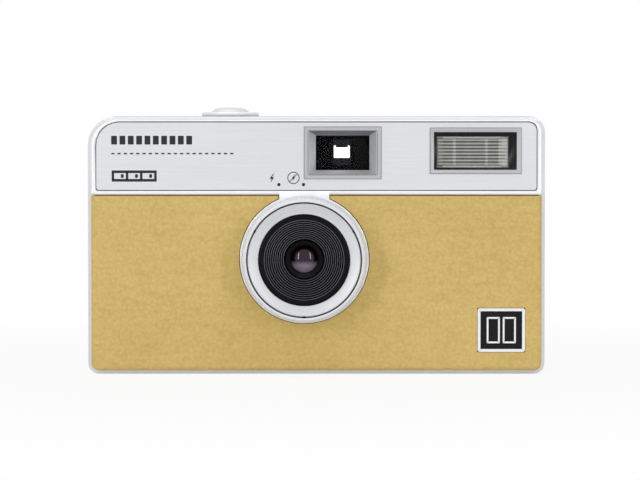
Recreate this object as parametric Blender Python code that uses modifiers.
"""A compact half frame 35 mm film camera, modelled as the separate pieces it is assembled from.

Metres, +Z up. The front of the camera faces -Y, and +X is on the right of someone who looks at its front.
The origin is on the surface that the camera stands on, under the centre of its overall box.
"""

import math

import bmesh
import bpy

# ---------------------------------------------------------------- overall sizes
BODY_WIDTH = 0.110
BODY_HEIGHT = 0.062
BODY_DEPTH = 0.030
LENS_RISE = 0.009
WALL = 0.0016
CORNER_TOP_LEFT = 0.0070
CORNER_TOP_RIGHT = 0.0038
CORNER_BOTTOM = 0.0025
SHARP = 0.0006
EDGE_ROUND = 0.0005
SEAT = 0.0002
RUNNING = 0.0003
THROUGH = 0.0010
FAR = 0.020
WELD = 0.000005
MERGE = 0.00001
AXIS_MARK = 0.005

X_SIDE = BODY_WIDTH / 2
Y_REAR = (BODY_DEPTH + LENS_RISE) / 2
Y_FACE = Y_REAR - BODY_DEPTH
Y_LENS = Y_FACE - LENS_RISE
Z_TOP = BODY_HEIGHT

# ---------------------------------------------------------------- front cover, leather and face plate
STEP_IN = 0.0009
SEAM_SETBACK = 0.0023
LEATHER = 0.0006
COVER_WALL = 0.0012
LIP_LENGTH = 0.0032
PLATE_THICK = 0.0005
PLATE_SUNK = 0.0002
PLATE_BORDER = 0.0013
PLATE_TOP_BORDER = 0.0006
PLATE_CORNER = 0.0020
BROW_HEIGHT = 0.0180
BROW_EDGE = 0.0012
LEATHER_ROUND = 0.0010
LEATHER_GAP = 0.0002
BADGE_CORNER = 0.0005
BADGE_SIZE = (0.0114, 0.0105)
BADGE_THICK = 0.0005
BADGE_FROM_SIDE = 0.0106
BADGE_Z = 0.01065

Y_SEAM = Y_FACE + SEAM_SETBACK
Y_COVER = Y_FACE + LEATHER + SEAT / 2
Y_COVER_INSIDE = Y_COVER + COVER_WALL
Y_LIP = Y_SEAM + LIP_LENGTH
LIP_INSET = WALL + SEAT
INSIDE_INSET = LIP_INSET + COVER_WALL
X_BROW = X_SIDE - STEP_IN
Z_BROW_TOP = Z_TOP - STEP_IN
Z_BROW = Z_BROW_TOP - BROW_HEIGHT
Z_PLATE = Z_BROW + BROW_EDGE
Y_PLATE = Y_FACE + PLATE_SUNK

# ---------------------------------------------------------------- lens group
LENS_X = -0.0029
LENS_Z = 0.0278
TUBE_RADIUS = 0.01345
TUBE_WALL = 0.0021
RING_FRONT_RADIUS = TUBE_RADIUS + 0.00085
RING_BASE_RADIUS = RING_FRONT_RADIUS + 0.0009
PLINTH_RADIUS = RING_BASE_RADIUS + 0.0003
PLINTH_RISE = 0.0004
NECK_HALF = 0.0060
FLANGE_RADIUS = TUBE_RADIUS + 0.00235
FLANGE_THICK = 0.0012
BEZEL_BORE = TUBE_RADIUS - 0.00255
BEZEL_SUNK = 0.0002
CONE_RADIUS = BEZEL_BORE - 0.00135
CONE_END_RADIUS = 0.0046
CONE_STEPS = 9
CONE_DEPTH = 0.0050
CONE_SUNK = 0.0007
CONE_WALL = 0.0012
GLASS_RADIUS = 0.0033
GLASS_THICK = 0.0020
GLASS_CROWN = 0.0005
BARREL_WALL = 0.0030
LEDGE = 0.0010
APERTURE_RADIUS = 0.00115
PLATE_SHEET = 0.0003
BLADE_ARM = 0.0092
BLADE_LOBE = 0.0031
BLADE_PIN = 0.0005
RING_SCREWS = 3
RING_SCREW_CIRCLE = TUBE_RADIUS + 0.00115
RING_SCREW_SHANK = 0.00045
RING_SCREW_BORE = 0.00065
RING_SCREW_HEAD = 0.0011
RING_SCREW_HEAD_THICK = 0.0007
RING_SCREW_TIP = COVER_WALL - SEAT / 2
RING_SCREW_BLIND = RING_SCREW_TIP + SEAT
RING_CHAMFER = 0.0003
BEZEL_STEP = 0.0004
CONE_FLANGE = 0.0008
CONE_LAND = 0.0003
LENS_LEDGE = 0.0008
REAR_CROWN = 0.0003
RETAINER = 0.0006
SHUTTER_DROP = 0.002
SHUTTER_SIZE = (0.026, 0.026)
SHUTTER_HOLE = 0.0020
BLADE_HALF = 0.0013
BLADE_EYE = 0.0017

Y_PLINTH = Y_FACE - PLINTH_RISE
Y_BEZEL = Y_LENS + BEZEL_SUNK
Y_TUBE = Y_BEZEL + 0.0011
Y_CONE = Y_BEZEL + CONE_SUNK
Y_CONE_STEPS_END = Y_CONE + CONE_DEPTH
Y_CONE_END = Y_CONE_STEPS_END + 0.0008
Y_FLANGE = Y_COVER_INSIDE + RUNNING
Y_TUBE_FLOOR = Y_FLANGE - 0.0002
Y_TUBE_REAR = Y_FLANGE + FLANGE_THICK
BARREL_RADIUS = GLASS_RADIUS + BARREL_WALL
Y_BARREL = Y_CONE_END + SEAT
Y_FRONT_LENS_REAR = Y_BARREL + GLASS_THICK
Y_LEDGE = Y_FRONT_LENS_REAR + 3 * SEAT + PLATE_SHEET
Y_REAR_LENS = Y_LEDGE + LEDGE + SEAT
Y_RETAINER = Y_REAR_LENS + GLASS_THICK * 0.8 + SEAT
Y_BARREL_REAR = Y_RETAINER + 0.0008
Y_BLADE = Y_BARREL_REAR + RUNNING
Y_SHUTTER = Y_BLADE + PLATE_SHEET + RUNNING
SHUTTER_THICK = 0.0008
Y_DARK_BOX = Y_SHUTTER + SHUTTER_THICK + SEAT

# ---------------------------------------------------------------- film path
FILM_TO_REAR = 0.0045
DOOR_THICK = 0.0014
GATE = (0.0170, 0.0240)
DARK_BOX_MOUTH = 0.0070
FILM_CHANNEL = 0.0392
CHAMBER_RADIUS = 0.0128
CHAMBER_HEIGHT = 0.0438
CHAMBER_WALL = 0.0008
SPOOL_CHAMBER_RADIUS = 0.0102
SPOOL_RADIUS = 0.0050
SPOOL_FLANGE = 0.0095
SPOOL_SHAFT = 0.0020
SPROCKET_RADIUS = 0.00600
SPROCKET_TOOTH = 0.0010
SPROCKET_TEETH = 8
SPROCKET_SHAFT = 0.0025
SPROCKET_THICK = 0.0024
PERFORATION_OFFSET = 0.0141
HINGE_RADIUS = 0.0011
HINGE_PIN = 0.0005
KNUCKLE = 0.0050
KNUCKLE_FROM_END = 0.0040
PRESSURE = (0.0230, 0.0340)
PRESSURE_CORNER = 0.0010
PLATE_THIN = 0.0006
GUIDE_HALF = 0.004
GUIDE_THICK = 0.0010
SPRING_WIRE = 0.0003
SPRING_STEPS = 12
SPRING_FROM_END = 0.0034
HOOK_IN = 0.0024
HOOK_CLEAR = 0.0008
HOOK_SHORT = 0.0020
HOOK_THICK = 0.0010
LENS_ROOM = 0.0008
FLOOR_WALL = 0.003
DECK_WALL = 0.004
FILM_WALL = 0.0016
FRONT_ROOM = (0.008, 0.010)
MIDDLE_ROOM_X = 0.0105
REAR_ROOM = (0.0045, 0.0040)
SPOOL_PIVOT = 0.0015
SPOOL_PIVOT_DEEP = 0.0018
FLANGE_WALL = 0.0008
SLOT_HALF = 0.0006
SLOT_RISE = 0.012
TOOTH_HALF = (0.0006, 0.0008)
SHAFT_SEAT = 0.0010
FORK_CLEAR = 0.0020
FORK_SIZE = (0.0050, 0.0012, 0.0040)

Y_DOOR = Y_REAR - DOOR_THICK
Y_FILM = Y_REAR - FILM_TO_REAR
Y_BODY_REAR = Y_DOOR - RUNNING
Z_CHAMBER = LENS_Z - CHAMBER_HEIGHT / 2
Z_CHAMBER_TOP = LENS_Z + CHAMBER_HEIGHT / 2
Z_DECK = Z_CHAMBER_TOP + CHAMBER_WALL
Z_CHASSIS = WALL + SEAT
Z_DOOR = 0.0004
Z_DOOR_TOP = Z_DECK - SEAT
X_CHASSIS = X_SIDE - WALL - SEAT
X_CHASSIS_FRONT = X_SIDE - INSIDE_INSET - SEAT
CASSETTE_X = X_CHASSIS_FRONT - CHAMBER_WALL - CHAMBER_RADIUS
CASSETTE_Y = Y_COVER_INSIDE + SEAT + CHAMBER_WALL + CHAMBER_RADIUS
SPOOL_X = -(X_CHASSIS_FRONT - CHAMBER_WALL - SPOOL_CHAMBER_RADIUS)
SPOOL_Y = Y_REAR - 0.0115
SPROCKET_X = LENS_X - GATE[0] / 2 - SPROCKET_RADIUS - SPROCKET_TOOTH - 0.0009
SPROCKET_Y = Y_FILM - SPROCKET_RADIUS
HINGE_X = -(X_SIDE - HINGE_RADIUS)
HINGE_Y = Y_REAR - HINGE_RADIUS

# ---------------------------------------------------------------- rear top, finder and flash
REAR_TOP_DEPTH = 0.0026
REAR_TOP_SETBACK = 0.0012
FINDER_X = 0.0063
FINDER_Z = Z_TOP - 0.0088
FINDER_FRAME = (0.0184, 0.0124)
FINDER_RIM = (0.0164, 0.0107)
FINDER_OPENING = (0.0129, 0.0083)
FINDER_THROAT_WALL = 0.0012
FINDER_SLOPE = 0.0020
FINDER_LENS_THICK = 0.0014
FINDER_TUNNEL = (0.0096, 0.0062)
TUNNEL_WALL = 0.0006
EYEPIECE = (0.0083, 0.0055)
EYEPIECE_FLANGE = 0.0011
EYEPIECE_THROAT = 0.0007
FINDER_ROOM = 0.0026
FRAME_RISE = 0.0003
FLASH_X = X_SIDE - 0.0168
FLASH_Z = Z_TOP - 0.0083
FLASH_FRAME = (0.0218, 0.0109)
FLASH_RIM = (0.0204, 0.0094)
FLASH_WINDOW = (0.0172, 0.0074)
FLASH_WINDOW_SHIFT = (-0.0007, -0.0003)
FLASH_SLOPE = 0.0010
REFLECTOR = (0.0164, 0.0064)
REFLECTOR_DEPTH = 0.0042
REFLECTOR_WALL = 0.0005
FLASH_TUBE_RADIUS = 0.0009
LAMP_RADIUS = 0.0012
LAMP_GAP = 0.0014
LAMP_BEHIND = 0.0036
LAMP_LENGTH = 0.0041
BOARD_THICK = 0.0010
BOARD_LEFT = 0.0102
BOARD_FROM_TUBE = 0.0032
BOARD_FROM_SIDE = 0.0036
BOARD_FROM_REAR = 0.0012
FLASH_THROAT_WALL = (0.0004, 0.0006)
RIB_RISE = 0.0004
TUBE_ENDS = 0.0018
WINDING_RADIUS = 0.0021
WINDING_LENGTH = 0.0070
CORE_X = 0.0046
CORE_ENDS = (0.0040, 0.0108)
CORE_SIZE = (0.0014, 0.0060, 0.0038)

Y_FRAME = Y_FACE - FRAME_RISE
Y_FRAME_BACK = Y_PLATE + PLATE_THICK
Y_REAR_TOP = Y_REAR - REAR_TOP_SETBACK
Y_REAR_TOP_FRONT = Y_REAR_TOP - REAR_TOP_DEPTH
Z_TUNNEL = Z_DECK + RUNNING + TUNNEL_WALL + FINDER_TUNNEL[1] / 2

# ---------------------------------------------------------------- power
CELL_RADIUS = 0.00525
CELL_LENGTH = 0.0436
CELL_NUB = 0.0009
CELL_ROOM = 0.00025
CELL_X = LENS_X + 0.0222
CELL_Y = Y_SEAM + 0.0063
CELL_DOOR = (0.0126, 0.0111)
CELL_DOOR_THICK = 0.0012
CELL_HINGE = 0.0006
CELL_HINGE_ROOM = 0.0019
CELL_DOOR_ROOM = 0.0012
CELL_NUB_RADIUS = 0.0019
CELL_SPRING = (0.0024, 0.0002, 2)
CONTACT_HALF = (0.0036, 0.0025)
CONTACT_ROOM = 0.0012
CAPACITOR_RADIUS = 0.0042
CAPACITOR_LENGTH = 0.0182
CAPACITOR_LEFT = 0.0026

Z_CELL_DOOR = 0.0002
Z_CELL = 0.0034
Z_CELL_TOP = Z_CELL + CELL_LENGTH

# ---------------------------------------------------------------- controls
BUTTON_X = -X_SIDE + 0.0339
BUTTON_Y = Y_FACE + 0.0150
BUTTON_RADIUS = 0.0045
BUTTON_RISE = 0.0023
COLLAR_RADIUS = 0.0070
COLLAR_RISE = 0.0011
COLLAR_FLOOR = 0.0010
BUTTON_TRAVEL = 0.0011
STEM_RADIUS = 0.0012
BUTTON_HOLE_WALL = 0.0012
BUTTON_WALL = 0.0010
BUTTON_ROOF = 0.0014
BUTTON_SPRING = (0.0023, 0.00018, 3)
CROWN_INNER = 0.55
CROWN_OUTER = 0.85
CROWN_DROPS = (0.0001, 0.0004, 0.0010)
COLLAR_CHAMFER = 0.0003
COLLAR_NECK = 0.0010
LEVER_THICK = 0.0010
LEVER_WIDTH = 0.0020
LEVER_REACH = 0.0072
LEVER_TAIL = 0.0050
LEVER_HUB = 0.0012
LEVER_PIN_LENGTH = 0.0036
PILLAR_HALF = 0.0012
PILLAR_FRONT = 0.0030
PILLAR_REAR = 0.0014
PILLAR_RISE = 0.0020
WHEEL_THICK = 0.0038
WHEEL_RIBS = 36
WHEEL_CHAMFER = 0.0004
DIAL_RADIUS = 0.0080
DIAL_THICK = 0.0008
COUNTER_WINDOW = 0.0024
COUNTER_OFFSET = 0.0054
WELL_RADIUS = 0.0091
WELL_DEPTH = 0.0046
WELL_FLOOR = 0.0008
CRANK_RADIUS = 0.0087
CRANK_DISC = 0.0017
CRANK_PIVOT = 0.0036
CRANK_REACH = 0.0054
CRANK_HUB = 0.00105
HANDLE_THICK = 0.0010
HANDLE_WIDTH = 0.0042
GRIP_RADIUS = 0.0021
GRIP_PIN = 0.0008
CRANK_PIN = 0.00045
CRANK_PIN_ROOM = 0.00015
EAR_THICK = 0.0009
EAR_HALF = 0.0010
REWIND_SHAFT = 0.0020
RELEASE_RADIUS = 0.0020
RELEASE_TRAVEL = 0.0012
RELEASE_STEM = 0.0012
RELEASE_FLANGE = 0.0006
RELEASE_ROOM = 0.0014
LATCH_TRAVEL = 0.0035
LATCH_SIZE = (0.0040, 0.0110)
LATCH_FROM_REAR = 0.0012
LATCH_ROOM = 0.0030
LATCH_LIP = 0.0008
LATCH_GROOVES = 4
GROOVE_DEEP = 0.0004
GROOVE_HALF = 0.0003
STRAP_GAP = (0.0036, 0.0056)
STRAP_BAR = 0.0006
STRAP_BAR_IN = 0.0010
STRAP_BAR_ENDS = 0.0030
STRAP_FROM_DECK = 0.0025
STRAP_ROOM = 0.0034
SCREW_HEAD = 0.0015
SCREW_HEAD_THICK = 0.0008
SCREW_SHANK = 0.0008
SCREW_FROM_SIDE = 0.0085
SCREW_FROM_FILM = 0.0125
SCREW_FROM_CORNER = 0.0060
BASE_SCREW_LENGTH = 0.0036
BASE_SCREW_HOLE = 0.0052
DRIVER_SLOT = (0.0010, 0.0002)
DRIVER_DEEP = 0.0006

WHEEL_RADIUS = Y_REAR - SPOOL_Y
Z_WHEEL = Z_DECK + RUNNING
Z_DIAL = Z_TOP - WALL - 0.0022
Z_WELL = Z_TOP - WELL_DEPTH
Z_CRANK_DISC = Z_WELL + RUNNING
Z_CRANK_PIVOT = Z_CRANK_DISC + CRANK_DISC + CRANK_HUB + RUNNING
Z_LEVER = Z_DECK + 0.0034
Z_STEM = Z_LEVER + LEVER_THICK + RUNNING

SMOOTH_ANGLE = math.radians(35)
FRONT_TURN = (math.pi / 2, 0, 0)
SIDE_TURN = (math.pi / 2, 0, math.pi / 2)


# ---------------------------------------------------------------- scene and materials
def clear_scene():
    """Empties the scene, so that the file can be run again."""
    for obj in list(bpy.data.objects):
        bpy.data.objects.remove(obj)


def new_collection(name):
    """A collection in the scene."""
    made = bpy.data.collections.new(name)
    bpy.context.scene.collection.children.link(made)
    return made


def new_material(name, colour, roughness, metallic=0.0, alpha=1.0):
    """A Principled material with one colour."""
    made = bpy.data.materials.new(name)
    made.use_nodes = True
    shader = made.node_tree.nodes["Principled BSDF"]
    shader.inputs["Base Color"].default_value = (*colour, 1)
    shader.inputs["Roughness"].default_value = roughness
    shader.inputs["Metallic"].default_value = metallic
    shader.inputs["Alpha"].default_value = alpha
    return made


clear_scene()
PARTS = new_collection("half_frame_camera")
CUTTERS = new_collection("cutters")
MATERIALS = {
    "silver": new_material("silver_paint", (0.74, 0.75, 0.77), 0.35, 0.4),
    "brushed": new_material("brushed_plate", (0.78, 0.79, 0.80), 0.3, 0.8),
    "leather": new_material("sand_leatherette", (0.63, 0.45, 0.16), 0.6),
    "black": new_material("black_plastic", (0.02, 0.02, 0.022), 0.45),
    "gloss_black": new_material("gloss_black_plastic", (0.012, 0.012, 0.014), 0.2),
    "clear": new_material("clear_plastic", (0.9, 0.92, 0.95), 0.05, 0.0, 0.35),
    "mirror": new_material("reflector_foil", (0.85, 0.85, 0.84), 0.1, 1.0),
    "steel": new_material("spring_steel", (0.55, 0.55, 0.56), 0.3, 1.0),
    "board": new_material("circuit_board", (0.03, 0.18, 0.07), 0.5),
    "sleeve": new_material("capacitor_sleeve", (0.04, 0.04, 0.07), 0.35),
    "cell": new_material("battery_cell", (0.35, 0.36, 0.38), 0.35, 0.5),
    "lamp": new_material("ready_lamp", (0.85, 0.30, 0.05), 0.2),
    "white": new_material("dial_white", (0.82, 0.82, 0.80), 0.5),
    "copper": new_material("winding_copper", (0.55, 0.25, 0.10), 0.4, 1.0),
}


# ---------------------------------------------------------------- shapes
def box(low, high):
    """A block between two corners."""
    centre = [(a + b) / 2 for a, b in zip(low, high)]
    bpy.ops.mesh.primitive_cube_add(size=1, location=centre)
    obj = bpy.context.object
    obj.scale = [b - a for a, b in zip(low, high)]
    bpy.ops.object.transform_apply(location=False, rotation=False, scale=True)
    return obj


def rod(radius, start, length, axis="Z", sides=24):
    """A cylinder that runs from start along a positive axis."""
    turn = {"X": (0, math.pi / 2, 0), "Y": (math.pi / 2, 0, 0), "Z": (0, 0, 0)}[axis]
    centre = list(start)
    centre["XYZ".index(axis)] += length / 2
    bpy.ops.mesh.primitive_cylinder_add(
        vertices=sides, radius=radius, depth=length, location=centre, rotation=turn
    )
    return bpy.context.object


def turned(profile, location, rotation=(0, 0, 0), steps=48, closed=True):
    """A turned shape. The profile is (radius, height) pairs that run down the outer side first."""
    mesh = bpy.data.meshes.new("profile")
    ends = len(profile) if closed else len(profile) - 1
    edges = [(i, (i + 1) % len(profile)) for i in range(ends)]
    mesh.from_pydata([(r, 0, h) for r, h in profile], edges, [])
    obj = bpy.data.objects.new("turned", mesh)
    bpy.context.scene.collection.objects.link(obj)
    obj.location = location
    obj.rotation_euler = rotation
    screw = obj.modifiers.new("Screw", "SCREW")
    screw.angle = math.tau
    screw.steps = screw.render_steps = steps
    screw.use_merge_vertices = True
    screw.merge_threshold = MERGE
    screw.use_smooth_shade = False
    return obj


def turned_forward(profile, steps=48, closed=True, at=(LENS_X, LENS_Z)):
    """A turned shape on an axis along Y. A point of the profile is (radius, Y), front first."""
    flipped = [(r, -y) for r, y in profile]
    return turned(flipped, (at[0], 0, at[1]), FRONT_TURN, steps, closed)


def flat(outline, low, high, rotation=(0, 0, 0), rounding=0.0, round_steps=2):
    """A flat outline with a thickness, from low to high along its normal, as a mesh with welded caps."""
    curve = bpy.data.curves.new("outline", "CURVE")
    curve.dimensions = "2D"
    curve.fill_mode = "BOTH"
    curve.extrude = (high - low) / 2 - rounding
    curve.bevel_depth = rounding
    curve.bevel_resolution = round_steps
    curve.offset = -rounding
    spline = curve.splines.new("POLY")
    spline.points.add(len(outline) - 1)
    for point, (x, y) in zip(spline.points, outline):
        point.co = (x, y, 0, 1)
    spline.use_cyclic_u = True
    guide = bpy.data.objects.new("outline", curve)
    bpy.context.scene.collection.objects.link(guide)
    guide.rotation_euler = rotation
    bpy.context.view_layer.update()
    guide.location = guide.matrix_world.to_3x3().col[2] * (low + high) / 2
    bpy.context.view_layer.update()
    graph = bpy.context.evaluated_depsgraph_get()
    mesh = bpy.data.meshes.new_from_object(guide.evaluated_get(graph))
    shape = bmesh.new()
    shape.from_mesh(mesh)
    bmesh.ops.remove_doubles(shape, verts=shape.verts, dist=WELD)
    bmesh.ops.recalc_face_normals(shape, faces=shape.faces)
    shape.to_mesh(mesh)
    shape.free()
    obj = bpy.data.objects.new("flat", mesh)
    bpy.context.scene.collection.objects.link(obj)
    obj.matrix_world = guide.matrix_world
    bpy.data.objects.remove(guide)
    return obj


def facing_front(outline, y_front, y_rear, rounding=0.0, round_steps=2):
    """An outline of (x, z) points, between two depths."""
    return flat(outline, -y_rear, -y_front, FRONT_TURN, rounding, round_steps)


def facing_side(outline, x_low, x_high, rounding=0.0):
    """An outline of (y, z) points, between two places across the camera."""
    return flat(outline, x_low, x_high, SIDE_TURN, rounding)


def rounded_rectangle(low, high, radii, steps=6):
    """Points round a rectangle. The radii go bottom left, bottom right, top right, top left."""
    corners = (
        (low[0], low[1], 1, 1, math.pi),
        (high[0], low[1], -1, 1, 1.5 * math.pi),
        (high[0], high[1], -1, -1, 0.0),
        (low[0], high[1], 1, -1, 0.5 * math.pi),
    )
    points = []
    for (x, y, sign_x, sign_y, start), radius in zip(corners, radii):
        centre = (x + sign_x * radius, y + sign_y * radius)
        for step in range(steps + 1):
            angle = start + 0.5 * math.pi * step / steps
            points.append((centre[0] + radius * math.cos(angle), centre[1] + radius * math.sin(angle)))
    return points


def body_outline(inset):
    """The camera's front outline, taken in by inset."""
    radii = [CORNER_BOTTOM, CORNER_BOTTOM, CORNER_TOP_RIGHT, CORNER_TOP_LEFT]
    radii = [max(r - inset, SHARP) for r in radii]
    return rounded_rectangle((-X_SIDE + inset, inset), (X_SIDE - inset, Z_TOP - inset), radii)


def centred(centre, size, radius, steps=4):
    """A rounded rectangle about a centre."""
    low = [c - s / 2 for c, s in zip(centre, size)]
    high = [c + s / 2 for c, s in zip(centre, size)]
    return rounded_rectangle(low, high, [radius] * 4, steps)


def wire(points, radius, sides_resolution=2):
    """A round wire along points."""
    curve = bpy.data.curves.new("wire", "CURVE")
    curve.dimensions = "3D"
    curve.bevel_depth = radius
    curve.bevel_resolution = sides_resolution
    curve.use_fill_caps = True
    spline = curve.splines.new("POLY")
    spline.points.add(len(points) - 1)
    for point, place in zip(spline.points, points):
        point.co = (*place, 1)
    obj = bpy.data.objects.new("wire", curve)
    bpy.context.scene.collection.objects.link(obj)
    return obj


# ---------------------------------------------------------------- joining, cutting and naming
def as_helper(obj, name):
    """Puts an object with the cutters, where it isn't a piece of the camera."""
    for old in list(obj.users_collection):
        old.objects.unlink(obj)
    CUTTERS.objects.link(obj)
    obj.name = name
    obj.hide_render = True
    obj.display_type = "WIRE"


def combine(obj, operation, others):
    """Applies one boolean operation to obj for each of the others."""
    for other in others:
        as_helper(other, "helper")
        modifier = obj.modifiers.new(operation.title(), "BOOLEAN")
        modifier.operation = operation
        modifier.solver = "EXACT"
        modifier.object = other
    return obj


def cut(obj, *cutters):
    """Takes the cutters' shapes out of obj."""
    return combine(obj, "DIFFERENCE", cutters)


def join(obj, *others):
    """Makes obj and the others one body."""
    return combine(obj, "UNION", others)


def piece(name, obj, finish):
    """Names a finished piece, gives it its material and puts it in the camera's collection."""
    for old in list(obj.users_collection):
        old.objects.unlink(obj)
    PARTS.objects.link(obj)
    obj.name = name
    obj.data.name = name
    obj.data.materials.clear()
    obj.data.materials.append(MATERIALS[finish])
    if obj.type == "MESH" and obj.data.polygons:
        obj.data.shade_smooth()
        obj.data.set_sharp_from_angle(angle=SMOOTH_ANGLE)
    return obj


def on_joint(name, place, pieces):
    """An empty on a joint's axis, with its pieces parented to it where they are."""
    empty = bpy.data.objects.new(name, None)
    empty.empty_display_size = AXIS_MARK
    empty.location = place
    PARTS.objects.link(empty)
    bpy.context.view_layer.update()
    for obj in pieces:
        obj.parent = empty
        obj.matrix_parent_inverse = empty.matrix_world.inverted()
    return empty


def frustum(at, front_size, y_front, rear_size, y_rear, shift=(0, 0)):
    """A four-sided funnel shape between two depths. The shift moves its rear end."""
    bpy.ops.mesh.primitive_cube_add(size=1, location=(at[0], (y_front + y_rear) / 2, at[1]))
    obj = bpy.context.object
    for vertex in obj.data.vertices:
        rear = vertex.co.y > 0
        size = rear_size if rear else front_size
        vertex.co.x = vertex.co.x * size[0] + (shift[0] if rear else 0)
        vertex.co.z = vertex.co.z * size[1] + (shift[1] if rear else 0)
        vertex.co.y *= y_rear - y_front
    return obj


def window_block(at, size, y_front, y_rear, grow=0.0):
    """A rectangular block about a point of the front view."""
    half = [s / 2 + grow for s in size]
    return box((at[0] - half[0], y_front, at[1] - half[1]), (at[0] + half[0], y_rear, at[1] + half[1]))


FINDER_AT = (FINDER_X, FINDER_Z)
FLASH_AT = (FLASH_X, FLASH_Z)
FLASH_WINDOW_AT = (FLASH_X + FLASH_WINDOW_SHIFT[0], FLASH_Z + FLASH_WINDOW_SHIFT[1])
BADGE_AT = (X_SIDE - BADGE_FROM_SIDE, BADGE_Z)
FINDER_THROAT = (FINDER_RIM[0] + FINDER_THROAT_WALL / 2, FINDER_RIM[1] + FINDER_THROAT_WALL / 2)
FLASH_THROAT = (FLASH_RIM[0] + FLASH_THROAT_WALL[0], FLASH_RIM[1] + FLASH_THROAT_WALL[1])
BASE_SCREWS = (
    (-X_SIDE + SCREW_FROM_SIDE, Y_FILM - SCREW_FROM_FILM),
    (X_SIDE - SCREW_FROM_CORNER, Y_REAR - SCREW_FROM_CORNER),
)
SPOKES = [math.pi / 2 + math.tau * n / RING_SCREWS for n in range(RING_SCREWS)]


# ---------------------------------------------------------------- front shell
def build_front_cover():
    """The front shell: a tray with a lip inside the band, the brow above and the lens plinth."""
    cover = facing_front(body_outline(LIP_INSET), Y_COVER, Y_LIP)
    corner_radii = [SHARP, SHARP, CORNER_TOP_RIGHT - STEP_IN, CORNER_TOP_LEFT - STEP_IN]
    brow_outline = rounded_rectangle((-X_BROW, Z_BROW), (X_BROW, Z_BROW_TOP), corner_radii)
    brow = facing_front(brow_outline, Y_FACE, Y_SEAM - SEAT / 2, EDGE_ROUND)
    neck = box((LENS_X - NECK_HALF, Y_FACE, LENS_Z), (LENS_X + NECK_HALF, Y_COVER_INSIDE, Z_BROW + THROUGH))
    plinth = rod(PLINTH_RADIUS, (LENS_X, Y_PLINTH, LENS_Z), Y_COVER_INSIDE - Y_PLINTH, "Y", 48)
    join(cover, brow, neck, plinth)
    hollow = facing_front(body_outline(INSIDE_INSET), Y_COVER_INSIDE, Y_LIP + THROUGH)
    plate_pocket = facing_front(plate_outline(-SEAT), Y_FACE - THROUGH, Y_FRAME_BACK + SEAT / 2)
    bore = rod(TUBE_RADIUS + SEAT, (LENS_X, Y_LENS, LENS_Z), LENS_RISE * 2, "Y", 48)
    finder = window_block(FINDER_AT, FINDER_THROAT, Y_FACE - THROUGH, Y_SEAM + THROUGH, SEAT)
    flash = window_block(FLASH_AT, FLASH_THROAT, Y_FACE - THROUGH, Y_SEAM + THROUGH, SEAT)
    well_start = (CASSETTE_X, CASSETTE_Y, Z_WELL - 2 * THROUGH)
    well = rod(WELL_RADIUS + 2 * WELL_FLOOR, well_start, WELL_DEPTH + THROUGH)
    cell = box(
        (CELL_X - CELL_DOOR[0] / 2 - CELL_DOOR_ROOM, Y_SEAM - THROUGH, Z_CHASSIS - THROUGH),
        (CELL_X + CELL_DOOR[0] / 2 + CELL_DOOR_ROOM, Y_LIP + THROUGH, INSIDE_INSET + THROUGH / 2),
    )
    cut(cover, hollow, plate_pocket, bore, finder, flash, well, cell)
    for angle in SPOKES:
        x = LENS_X + RING_SCREW_CIRCLE * math.cos(angle)
        z = LENS_Z + RING_SCREW_CIRCLE * math.sin(angle)
        cut(cover, rod(RING_SCREW_BORE, (x, Y_COVER_INSIDE - RING_SCREW_BLIND, z), 3 * THROUGH, "Y", 12))
    piece("front_cover", cover, "silver")


def plate_outline(inset):
    """The face plate's outline, taken in by inset."""
    low = (-X_BROW + PLATE_BORDER + inset, Z_PLATE + inset)
    high = (X_BROW - PLATE_BORDER - inset, Z_BROW_TOP - PLATE_TOP_BORDER - inset)
    left = CORNER_TOP_LEFT - STEP_IN - PLATE_TOP_BORDER - inset
    return rounded_rectangle(low, high, [SHARP, SHARP, PLATE_CORNER, left])


def build_face_plate():
    """The thin brushed plate in the brow, with the finder and flash openings."""
    plate = facing_front(plate_outline(0), Y_PLATE, Y_PLATE + PLATE_THICK)
    finder = window_block(FINDER_AT, FINDER_FRAME, Y_FACE - THROUGH, Y_SEAM, SEAT / 2)
    flash = window_block(FLASH_AT, FLASH_FRAME, Y_FACE - THROUGH, Y_SEAM, SEAT / 2)
    piece("face_plate", cut(plate, finder, flash), "brushed")


def build_leather():
    """The leatherette: a thin tray over the lower front, open around the neck, the plinth and the badge."""
    leather = facing_front(body_outline(STEP_IN), Y_FACE, Y_SEAM + 2 * LEATHER_ROUND, LEATHER_ROUND)
    above = box((-X_SIDE, Y_LENS, Z_BROW - LEATHER_GAP), (X_SIDE, Y_REAR, Z_TOP + THROUGH))
    inner = facing_front(body_outline(STEP_IN + LEATHER), Y_FACE + LEATHER, Y_REAR)
    rear = box((-X_SIDE, Y_SEAM - SEAT / 2, -THROUGH), (X_SIDE, Y_REAR, Z_TOP))
    neck = box(
        (LENS_X - NECK_HALF - LEATHER_GAP, Y_FACE - THROUGH, LENS_Z),
        (LENS_X + NECK_HALF + LEATHER_GAP, Y_SEAM, Z_TOP),
    )
    hole = rod(PLINTH_RADIUS + LEATHER_GAP, (LENS_X, Y_FACE - THROUGH, LENS_Z), 4 * THROUGH, "Y", 48)
    badge = window_block(BADGE_AT, BADGE_SIZE, Y_FACE - THROUGH, Y_SEAM, SEAT / 2)
    piece("leather_skin", cut(leather, rear, inner, above, neck, hole, badge), "leather")
    outline = centred(BADGE_AT, BADGE_SIZE, BADGE_CORNER)
    piece("badge", facing_front(outline, Y_FACE - SEAT, Y_FACE - SEAT + BADGE_THICK), "gloss_black")


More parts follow.
